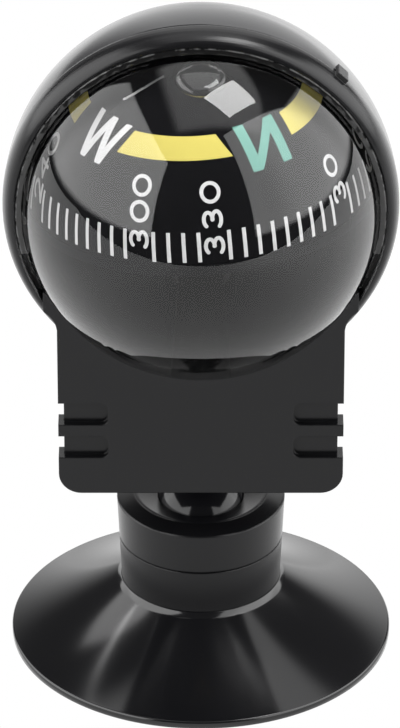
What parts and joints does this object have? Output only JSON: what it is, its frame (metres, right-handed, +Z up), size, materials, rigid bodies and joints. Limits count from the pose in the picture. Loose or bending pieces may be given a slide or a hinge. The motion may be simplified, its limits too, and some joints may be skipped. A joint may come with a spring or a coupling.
{
  "type": "dashboard ball compass",
  "caption": "Liquid-filled ball compass with a floating card, in a black hood bracket on a ball joint and a suction cup for a dashboard.",
  "frame": {"origin": "centre of the suction cup's lip, on the surface that it stands on", "axes": "+Z up along the collar, -Y towards the face of the compass, +X to the viewer's right"},
  "size_m": [0.045, 0.051, 0.0845],
  "materials": {
    "cup_vinyl": "glossy soft vinyl",
    "collar_black": "satin black plastic",
    "dish_grey": "smooth black plastic",
    "liner_white": "low-friction white plastic",
    "stud_black": "glossy black plastic",
    "plain_steel": "plain zinc-plated steel",
    "housing_black": "smooth black plastic",
    "clear_glue": "clear set glue",
    "clear_acrylic": "polished clear acrylic",
    "plug_rubber": "black rubber",
    "post_black": "black plastic",
    "red_jewel": "polished hard jewel",
    "setting_brass": "turned brass",
    "dial_black": "black plastic with white, green and yellow print",
    "float_black": "black foam plastic",
    "magnet_grey": "bare magnet steel"
  },
  "bodies": {
    "base": {"suction_cup": "cup_vinyl", "base_collar": "collar_black"},
    "swivel": {"socket_cup": "collar_black", "retainer_ring": "dish_grey", "lock_ring": "collar_black"},
    "liner": {"friction_liner": "liner_white"},
    "head": {"ball_stud": "stud_black", "stud_washer": "plain_steel", "stud_nut": "plain_steel", "front_frame": "housing_black", "rear_shell": "housing_black", "cover_screws": "plain_steel", "glue_bead": "clear_glue", "upper_dome": "clear_acrylic", "lower_bowl": "clear_acrylic", "filler_plug": "plug_rubber", "pivot_post": "post_black", "pivot_needle": "plain_steel"},
    "jewel": {"jewel_cup": "red_jewel"},
    "setting": {"jewel_setting": "setting_brass"},
    "card": {"dial_dome": "dial_black", "float_body": "float_black", "bar_magnets": "magnet_grey"}
  },
  "joints": [
    {"name": "collar_swivel", "type": "hinge", "parent": "base", "child": "swivel", "pos_m": [0, 0, 0.0133], "axis": [0, 0, 1], "continuous": true},
    {"name": "head_nod", "type": "hinge", "parent": "swivel", "child": "liner", "pos_m": [0, 0, 0.01616], "axis": [1, 0, 0], "range_deg": [-20, 20]},
    {"name": "head_lean", "type": "hinge", "parent": "liner", "child": "head", "pos_m": [0, 0, 0.01616], "axis": [0, 1, 0], "range_deg": [-20, 20]},
    {"name": "card_list", "type": "hinge", "parent": "head", "child": "jewel", "pos_m": [0, -0.008, 0.06706], "axis": [0, 1, 0], "range_deg": [-12, 12]},
    {"name": "card_nod", "type": "hinge", "parent": "jewel", "child": "setting", "pos_m": [0, -0.008, 0.06706], "axis": [1, 0, 0], "range_deg": [-12, 12]},
    {"name": "card_turn", "type": "hinge", "parent": "setting", "child": "card", "pos_m": [0, -0.008, 0.06706], "axis": [-0.068, 0.0574, 0.996], "continuous": true}
  ]
}
